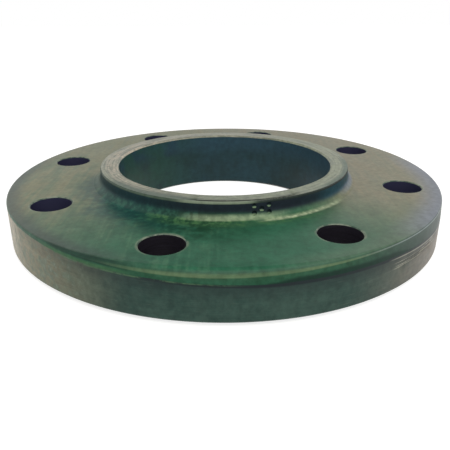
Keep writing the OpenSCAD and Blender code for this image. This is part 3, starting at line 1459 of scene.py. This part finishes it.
class FlangeTree(Graph):
    """The Geometry Nodes tree that forges, turns, drills and punches the flange."""

    def __init__(self, name: str) -> None:
        """Makes an empty tree with a geometry input and output.

        Args:
            name: The tree's name.
        """
        super().__init__(bpy.data.node_groups.new(name, "GeometryNodeTree"))
        self.tree.interface.new_socket("Geometry", in_out="INPUT", socket_type="NodeSocketGeometry")
        self.tree.interface.new_socket("Geometry", in_out="OUTPUT", socket_type="NodeSocketGeometry")
        self.entry = self.tree.nodes.new("NodeGroupInput")
        self.exit = self.tree.nodes.new("NodeGroupOutput")
        self.settings: dict[str, Value] = {}

    def size(self, name: str, value: Union[float, int, bpy.types.Material]) -> Field:
        """Adds a named input.

        Args:
            name: The input's name.
            value: What the flange sets it to.

        Returns:
            The input, as a field.
        """
        kinds = {float: "NodeSocketFloat", int: "NodeSocketInt"}
        kind = kinds.get(type(value), "NodeSocketMaterial")
        socket = self.tree.interface.new_socket(name, in_out="INPUT", socket_type=kind)
        self.settings[socket.identifier] = value
        return Field(self, next(s for s in self.entry.outputs if s.identifier == socket.identifier))

    def named(self, name: str, kind: str) -> Field:
        """Reads an attribute."""
        return self.field("GeometryNodeInputNamedAttribute", {"Name": name}, data_type=kind)

    def store(self, geometry: Field, name: str, value: Value, domain: str = "POINT") -> Field:
        """Writes a number as an attribute."""
        inputs = {"Geometry": geometry, "Name": name, "Value": value}
        return self.field("GeometryNodeStoreNamedAttribute", inputs, data_type="FLOAT", domain=domain)

    def place(self) -> Field:
        """The position of a point or face."""
        return self.field("GeometryNodeInputPosition", {})

    def offset(self, mesh: Field, way: Field) -> Field:
        """Moves each point of a mesh along a way."""
        return self.field("GeometryNodeSetPosition", {"Geometry": mesh, "Offset": way})

    def away(self, azimuth: Value) -> Field:
        """How far a swept point is from an azimuth, in radians."""
        turn = self.named("turn", "FLOAT") - azimuth
        return self.math("ABSOLUTE", self.math("WRAP", turn, math.pi, -math.pi))

    def moved_section(self, key: str, factor: Field) -> Field:
        """The section's point, moved along one of its vectors times a factor."""
        move = self.scale(self.named(key, "FLOAT_VECTOR"), factor)
        return self.vector_math("ADD", self.named("section", "FLOAT_VECTOR"), move)

    def relief(self, place: Field, name: str, height: float, size: float, detail: float) -> Field:
        """Bumps on both sides of a surface, with a named input for their height.

        Args:
            place: Where they are read.
            name: The input's name.
            height: How far the highest ones stand out.
            size: How wide they are.
            detail: How many finer layers are added.

        Returns:
            The height at the place.
        """
        return (self.noise(place, 1.0 / size, detail) - 0.5) * self.size(name, 2.0 * height)

    def on_points(self, points: Field, instance: Field) -> Field:
        """A copy of a mesh on each point, as one mesh."""
        placed = self.field("GeometryNodeInstanceOnPoints", {"Points": points, "Instance": instance})
        return self.field("GeometryNodeRealizeInstances", {"Geometry": placed})

    def of_tool(self, tool: Tool) -> Field:
        """The lines or points of one tool."""
        picked = self.field("FunctionNodeCompare", {2: self.named("line", "INT"), 3: tool.value},
                            data_type="INT", operation="EQUAL")
        inputs = {"Geometry": Field(self, self.entry.outputs[0]), "Selection": picked}
        return self.field("GeometryNodeSeparateGeometry", inputs, domain="POINT")

    def sweep(self, tool: Tool, segments: Value) -> Field:
        """Sweeps a tool's half section round the axis.

        Args:
            tool: The tool whose section it is.
            segments: How many steps the turn has.

        Returns:
            The swept mesh, in which each point knows its azimuth as turn and its section.
        """
        line = self.field("GeometryNodeMeshToCurve", {"Mesh": self.of_tool(tool)})
        circle = self.field("GeometryNodeCurvePrimitiveCircle", {"Resolution": segments, "Radius": 1.0})
        index = self.field("GeometryNodeInputIndex", {})
        circle = self.store(circle, "turn", index * (2.0 * math.pi) / segments)
        swept = self.field("GeometryNodeCurveToMesh", {"Curve": circle, "Profile Curve": line})
        swept = self.store(swept, "steep", self.named("wall", "FLOAT"), domain="FACE")
        return self.store(swept, "tool", float(tool.value), domain="FACE")

    def seat(self, mesh: Field, section: Field) -> Field:
        """Puts the points of a swept mesh where their section and azimuth say."""
        r, _, z = self.split(section)
        turn = self.named("turn", "FLOAT")
        place = self.vector(r * self.math("COSINE", turn), r * self.math("SINE", turn), z)
        return self.field("GeometryNodeSetPosition", {"Geometry": mesh, "Position": place})

    def cut(self, operation: str, first: Field, second: Field) -> Field:
        """Cuts one closed mesh by another."""
        inputs = {1: [first, second]} if operation == "INTERSECT" else {0: first, 1: second}
        return self.field("GeometryNodeMeshBoolean", inputs, operation=operation, solver="MANIFOLD")


@dataclass
class Flange:
    """The slip on flange, one piece of steel."""

    name: str = "slip_on_flange"
    blank: ForgedBlank = field(default_factory=ForgedBlank)
    lathe: LatheCuts = field(default_factory=LatheCuts)
    holes: BoltHoles = field(default_factory=BoltHoles)
    marks: PunchMarks = field(default_factory=PunchMarks)
    segments: int = 360
    hole_segments: int = 64
    weld: float = 0.001
    sharp_angle: float = 24.0
    seed: int = 7
    seed_step: tuple[float, float, float] = (31.0, 17.0, 11.0)
    end_margin: float = 0.7
    face_margin: float = 0.3
    face_edge_margin: float = 0.1
    bore_margin: float = 0.3
    hole_edge_share: float = 0.8

    def carrier(self) -> bpy.types.Object:
        """The object that carries the half sections into the tree."""
        lines = CarrierMesh()
        lines.add_line(Tool.FORGE, self.blank.section(), closed=True)
        lines.add_line(Tool.LATHE, self.lathe.section(), closed=True)
        lines.add_line(Tool.DRILL, self.holes.section(), closed=False)
        lines.add_spots(Tool.PUNCH, self.marks.places())
        return in_scene("flange_sections", lines.mesh("flange_sections"))

    def forge(self, tree: FlangeTree, segments: Field, seed: Field) -> Field:
        """Forges the blank: a swept section with an uneven corner, lumps, a shift and a tilt.

        Args:
            tree: The tree.
            segments: How many steps the turn has.
            seed: The seed of the lumps.

        Returns:
            The blank's mesh.
        """
        blank = self.blank
        slack = tree.size("Corner slack", blank.corner_slack)
        aim = tree.size("Slack azimuth", math.radians(blank.slack_azimuth))
        grown = tree.smooth(tree.away(aim), math.radians(blank.slack_reach), 0.0) * slack
        section = tree.vector_math("ADD", tree.moved_section("swell", grown), self.bulge(tree))
        mesh = tree.seat(tree.sweep(Tool.FORGE, segments), section)
        moved = tree.vector_math("ADD", tree.place(), tree.scale(self.seed_step, seed))
        lumps = tree.relief(moved, "Lump height", blank.lump, blank.lump_size, detail=1.0)
        dimples = tree.relief(moved, "Dimple depth", blank.dimple, blank.dimple_size, detail=2.0)
        height = (lumps + dimples) * tree.named("calm", "FLOAT")
        mesh = tree.offset(mesh, tree.scale(tree.field("GeometryNodeInputNormal", {}), height))
        aside = tree.size("Forging shift", blank.shift)
        x, y, _ = heading(blank.shift_azimuth)
        return tree.offset(mesh, tree.vector(aside * x, aside * y, self.lean(tree, tree.place())))

    def bulge(self, tree: FlangeTree) -> Field:
        """How far the blank's edge stands out, as a way in its section.

        Args:
            tree: The tree.

        Returns:
            The way, zero off the edge.
        """
        blank = self.blank
        at_edge = 1.0 - tree.named("calm", "FLOAT").step(blank.edge_calm, 1.0)
        reaches = []
        for i, bulge in enumerate(blank.bulges, start=1):
            facing = tree.math("COSINE", tree.named("turn", "FLOAT") - math.radians(bulge.sector.azimuth))
            out = tree.size(f"Edge bulge {i}", bulge.rise * math.tan(math.radians(blank.edge_draft)))
            reaches.append(facing.step(bulge.sector.start, bulge.sector.full) * out)
        return tree.vector(reduce(add, reaches) * at_edge, 0.0, 0.0)

    def lean(self, tree: FlangeTree, place: Field) -> Field:
        """How far the tilt of the forging lifts a place."""
        return tree.dot(place, heading(self.blank.tilt_azimuth)) * self.blank.tilt

    def turn(self, tree: FlangeTree, segments: Field) -> Field:
        """The lathe's envelope, scored where a tool has left its mark.

        Args:
            tree: The tree.
            segments: How many steps the turn has.

        Returns:
            The envelope's mesh.
        """
        middle, reach, _ = tree.split(tree.named("score_at", "FLOAT_VECTOR"))
        fade = (tree.away(middle) / reach).step(1.0, self.lathe.score_full) * tree.size("Score depth", 1.0)
        return tree.seat(tree.sweep(Tool.LATHE, segments), tree.moved_section("score", fade))

    def drill(self, tree: FlangeTree) -> Field:
        """The drill's cutters, one at each bolt hole, that follow the tilt at their upper ends.

        Args:
            tree: The tree.

        Returns:
            The cutters' mesh.
        """
        steps = tree.size("Hole segments", self.hole_segments)
        cutter = tree.seat(tree.sweep(Tool.DRILL, steps), tree.named("section", "FLOAT_VECTOR"))
        cutter = tree.field("GeometryNodeMergeByDistance", {"Geometry": cutter, "Distance": self.weld})
        cutter = tree.field("GeometryNodeFlipFaces", {"Mesh": cutter})
        count = tree.size("Bolt holes", self.holes.count)
        circle_r = tree.size("Bolt circle radius", self.holes.circle_r)
        ring = tree.field("GeometryNodeMeshCircle", {"Vertices": count, "Radius": circle_r})
        half = tree.vector(0.0, 0.0, math.pi / count)
        ring = tree.field("GeometryNodeTransform", {"Geometry": ring, "Rotation": half})
        rise = self.lean(tree, tree.place()) * tree.named("lid", "FLOAT")
        return tree.offset(tree.on_points(ring, cutter), tree.vector(0.0, 0.0, rise))

    def punch(self, tree: FlangeTree) -> Field:
        """The punch's ball at each mark."""
        marks = self.marks
        inputs = {"Segments": marks.ball_segments, "Rings": marks.ball_rings,
                  "Radius": tree.size("Punch radius", marks.ball_r)}
        ball = tree.field("GeometryNodeMeshUVSphere", inputs)
        ball = tree.store(ball, "steep", 1.0, domain="FACE")
        ball = tree.store(ball, "tool", float(Tool.PUNCH.value), domain="FACE")
        return tree.on_points(tree.of_tool(Tool.PUNCH), ball)

    def faces_of(self, tree: FlangeTree, tool: Tool) -> Field:
        """One on the faces that a tool has left."""
        return tree.named("tool", "FLOAT").near(float(tool.value), 0.4)

    def smooth(self, tree: FlangeTree, mesh: Field) -> Field:
        """Shades the faces smooth, and keeps the edges between two tools and the steep ones sharp.

        Where two tools meet, the mean of the squared tool numbers is higher than the square of their mean.

        Args:
            tree: The tree.
            mesh: The flange's mesh.

        Returns:
            The shaded mesh.
        """
        inputs = {"Geometry": mesh, "Shade Smooth": True}
        mesh = tree.field("GeometryNodeSetShadeSmooth", inputs, domain="FACE")
        mean = tree.named("tool", "FLOAT")
        inputs = {"Value": mean * mean}
        squares = tree.field("GeometryNodeFieldOnDomain", inputs, data_type="FLOAT", domain="FACE")
        mixed = squares - mean * mean > 0.1
        steep = tree.field("GeometryNodeInputMeshEdgeAngle", {}) > math.radians(self.sharp_angle)
        inputs = {"Geometry": mesh, "Selection": mixed + steep > 0.5, "Shade Smooth": False}
        return tree.field("GeometryNodeSetShadeSmooth", inputs, domain="EDGE")

    def build(self) -> bpy.types.Object:
        """Runs the tree and keeps its result as a plain mesh.

        Returns:
            The flange's object, at the origin.
        """
        tree = FlangeTree("forge_turn_drill")
        segments = tree.size("Segments", self.segments)
        seed = tree.size("Seed", self.seed)
        mesh = tree.cut("INTERSECT", self.forge(tree, segments, seed), self.turn(tree, segments))
        mesh = tree.cut("DIFFERENCE", mesh, self.drill(tree))
        mesh = tree.cut("DIFFERENCE", mesh, self.punch(tree))
        mesh = self.smooth(tree, mesh)
        mesh = tree.field("GeometryNodeTransform", {"Geometry": mesh, "Scale": (MM, MM, MM)})
        mesh = tree.field("GeometryNodeRealizeInstances", {"Geometry": mesh})
        tree.plug(tree.exit, 0, self.dress(tree, mesh))
        return self.freeze(tree)

    def dress(self, tree: FlangeTree, mesh: Field) -> Field:
        """Gives each face the finish of the tool that left it.

        Args:
            tree: The tree.
            mesh: The flange's mesh, in metres.

        Returns:
            The dressed mesh.
        """
        lathe, holes = self.lathe, self.holes
        place = tree.scale(tree.place(), 1.0 / MM)
        x, y, z = tree.split(place)
        r = tree.math("SQRT", x * x + y * y)
        turned = self.faces_of(tree, Tool.LATHE)
        raised = (z < self.face_margin) * (r < lathe.face_r - self.face_edge_margin)
        ends = turned * (z > lathe.end_z - self.end_margin) + turned * raised
        inside = turned * (r < lathe.bore_r + self.bore_margin)
        drilled = self.faces_of(tree, Tool.DRILL)
        hole_edge = holes.top_z - self.hole_edge_share * holes.edge_break
        edges = drilled * (z - self.lean(tree, place) > hole_edge)
        forged = self.faces_of(tree, Tool.FORGE) + self.faces_of(tree, Tool.PUNCH)
        steep = forged * (tree.named("steep", "FLOAT") > 0.9)
        rows = (
            ("Forged finish", ForgedVarnish(), None),
            ("Wall finish", ForgedVarnish(name="green_varnish_wall", rough=0.4, specular=0.15), steep),
            ("Turned finish", TurnedVarnish(), turned),
            ("Faced finish", FacedSteel(), ends),
            ("Bore finish", BoreVarnish(), inside),
            ("Drilled finish", DrilledSteel(), drilled),
            ("Hole edge finish", BareEdge(), edges),
        )
        for name, finish, faces in rows:
            inputs = {"Geometry": mesh, "Material": tree.size(name, finish.material())}
            if faces is not None:
                inputs["Selection"] = faces > 0.5
            mesh = tree.field("GeometryNodeSetMaterial", inputs)
        return mesh

    def freeze(self, tree: FlangeTree) -> bpy.types.Object:
        """Evaluates the tree once and keeps the result.

        Args:
            tree: The finished tree.

        Returns:
            An object with the result as its own mesh.
        """
        carrier = self.carrier()
        modifier = carrier.modifiers.new("forge_turn_drill", "NODES")
        modifier.node_group = tree.tree
        for identifier, value in tree.settings.items():
            modifier[identifier] = value
        graph = bpy.context.evaluated_depsgraph_get()
        result = bpy.data.meshes.new_from_object(carrier.evaluated_get(graph))
        result.name = self.name
        carrier.modifiers.remove(modifier)
        bpy.data.objects.remove(carrier)
        for name in ("line", "lid", "calm", "wall", "section", "swell", "score", "score_at", "turn"):
            if name in result.attributes:
                result.attributes.remove(result.attributes[name])
        while result.materials[0] is None:
            result.materials.pop(index=0)
        return in_scene(self.name, result)

    def seat(self) -> bpy.types.Object:
        """Builds the flange and puts it in the frame.

        Returns:
            The flange's object.
        """
        piece = self.build()
        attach(piece, "root")
        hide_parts("flange")
        return piece


@dataclass(frozen=True)
class SoftLight:
    """A soft lamp that aims at the flange."""

    name: str
    azimuth: float
    elevation: float
    distance: float
    width: float
    depth: float
    power: float
    colour: Colour

    def build(self) -> bpy.types.Object:
        """Makes the lamp.

        Returns:
            The lamp's object.
        """
        data = bpy.data.lights.new(self.name, "AREA")
        data.shape = "RECTANGLE"
        data.size, data.size_y = self.width, self.depth
        data.energy, data.color = self.power, self.colour
        made = in_scene(self.name, data)
        way = sky_way(self.azimuth, self.elevation)
        made.matrix_world = looking_back(way, way * self.distance)
        made.visible_camera = False
        return made


@dataclass(frozen=True)
class PictureCamera:
    """The camera at the picture's viewing angle."""

    azimuth: float = -97.5
    elevation: float = 21.565
    roll: float = -0.096
    distance: float = 290.94
    aim_z: float = 1.6
    focal_px: float = 501.24
    centre_px: Pair = (224.57, 210.15)
    sensor: float = 36.0

    def build(self) -> bpy.types.Object:
        """Makes the camera and gives it to the scene.

        Returns:
            The camera's object.
        """
        data = bpy.data.cameras.new("picture_camera")
        data.sensor_width = self.sensor
        data.lens = self.focal_px / PICTURE_SIDE * self.sensor
        data.shift_x = (PICTURE_SIDE / 2 - self.centre_px[0]) / PICTURE_SIDE
        data.shift_y = (self.centre_px[1] - PICTURE_SIDE / 2) / PICTURE_SIDE
        data.clip_start, data.clip_end = 0.01, 100.0
        made = in_scene("picture_camera", data)
        back = sky_way(self.azimuth, self.elevation)
        stand = Vector((0.0, 0.0, self.aim_z * MM)) + back * self.distance * MM
        made.matrix_world = looking_back(back, stand) @ Matrix.Rotation(math.radians(self.roll), 4, "Z")
        bpy.context.scene.camera = made
        return made


@dataclass(frozen=True)
class PaleFloor:
    """A white floor that keeps a faint shadow and that gloss shows as white too."""

    name: str = "pale_floor"
    glow: float = 0.75
    shade: float = 0.50
    plain: float = 0.8

    def material(self) -> bpy.types.Material:
        """Makes the floor's material.

        Returns:
            The material.
        """
        made = bpy.data.materials.new(self.name)
        made.use_nodes = True
        graph = Graph(made.node_tree)
        made.node_tree.nodes.clear()
        seen = seen_rays(graph)
        glow = graph.field("ShaderNodeEmission", {"Color": (1.0, 1.0, 1.0, 1.0), "Strength": self.glow})
        shade = graph.field("ShaderNodeBsdfDiffuse", {"Color": (self.shade, self.shade, self.shade, 1.0)})
        shown = graph.field("ShaderNodeAddShader", {0: glow, 1: shade})
        plain = graph.field("ShaderNodeBsdfDiffuse", {"Color": (self.plain, self.plain, self.plain, 1.0)})
        mixed = graph.field("ShaderNodeMixShader", {0: seen, 1: plain, 2: shown})
        graph.node("ShaderNodeOutputMaterial", {"Surface": mixed})
        return made


def seen_rays(graph: Graph) -> Field:
    """One for rays that show a background: from the camera, from gloss and through glass.

    Args:
        graph: The shader's graph.

    Returns:
        The field.
    """
    path = graph.node("ShaderNodeLightPath", {})
    names = ("Is Camera Ray", "Is Glossy Ray", "Is Transmission Ray")
    return reduce(add, [Field(graph, path.outputs[name]) for name in names]).clamp()


@dataclass
class Studio:
    """The plain studio: floor, backdrop, lamps and camera."""

    floor_side: float = 8.0
    floor_z: float = -0.00002
    fill: float = 0.55
    low: Colour = (1.0, 1.0, 1.0)
    high: Colour = (0.14, 0.15, 0.16)
    low_edge: float = 17.0
    high_edge: float = 26.0
    card_curve: float = 1.4
    card_azimuth: float = 86.5
    front_drop: float = 0.16
    front_fade: Ramp = Ramp(0.1, -0.3)
    horizon: Ramp = Ramp(0.06, 0.03)
    camera: PictureCamera = field(default_factory=PictureCamera)
    lamps: tuple[SoftLight, ...] = (
        SoftLight("front_window", -82.5, 52.0, 0.90, 1.1, 0.7, 5.0, (1.0, 0.97, 0.90)),
    )

    def build_floor(self) -> bpy.types.Object:
        """Makes the floor.

        Returns:
            The floor's object.
        """
        half = self.floor_side / 2
        outline = ((-half, -half), (half, -half), (half, half), (-half, half))
        corners = [(x, y, self.floor_z) for x, y in outline]
        data = bpy.data.meshes.new("floor")
        data.from_pydata(corners, [], [(0, 1, 2, 3)])
        data.materials.append(PaleFloor().material())
        made = in_scene("floor", data)
        return made

    def build_world(self) -> bpy.types.World:
        """Makes the backdrop: white at the horizon and grey above, and plain for diffuse light.

        Returns:
            The world.
        """
        world = bpy.data.worlds.new("backdrop")
        world.use_nodes = True
        world.node_tree.nodes.clear()
        graph = Graph(world.node_tree)
        way = graph.field("ShaderNodeTexCoord", {}, "Generated")
        _, _, rise = graph.split(way)
        aside = graph.dot(way, heading(self.card_azimuth - 90.0))
        drop = self.front_fade.of(graph.dot(way, heading(self.card_azimuth))) * self.front_drop
        height = rise - aside * aside * self.card_curve + drop
        edges = [math.sin(math.radians(edge)) for edge in (self.low_edge, self.high_edge)]
        shown = graph.blend(height.step(*edges), self.low, self.high)
        shown = graph.blend(self.horizon.of(rise), shown, self.low)
        plain = (self.fill, self.fill, self.fill)
        colour = graph.blend(seen_rays(graph), plain, shown)
        back = graph.field("ShaderNodeBackground", {"Color": colour, "Strength": 1.0})
        graph.node("ShaderNodeOutputWorld", {"Surface": back})
        bpy.context.scene.world = world
        return world

    def build(self) -> None:
        """Makes the whole studio and sets the plain view."""
        bpy.context.scene.view_settings.view_transform = "Standard"
        self.build_floor()
        self.build_world()
        for lamp in self.lamps:
            lamp.build()
        self.camera.build()


def main() -> None:
    """Builds the flange and the studio round it."""
    logging.basicConfig(level=logging.INFO, format="%(name)s: %(message)s")
    piece = Flange().seat()
    LOG.info("%s: %d vertices, %d faces", piece.name, len(piece.data.vertices), len(piece.data.polygons))
    Studio().build()
    LOG.info("studio: floor, backdrop, lamps and camera")


if __name__ == "__main__":
    main()
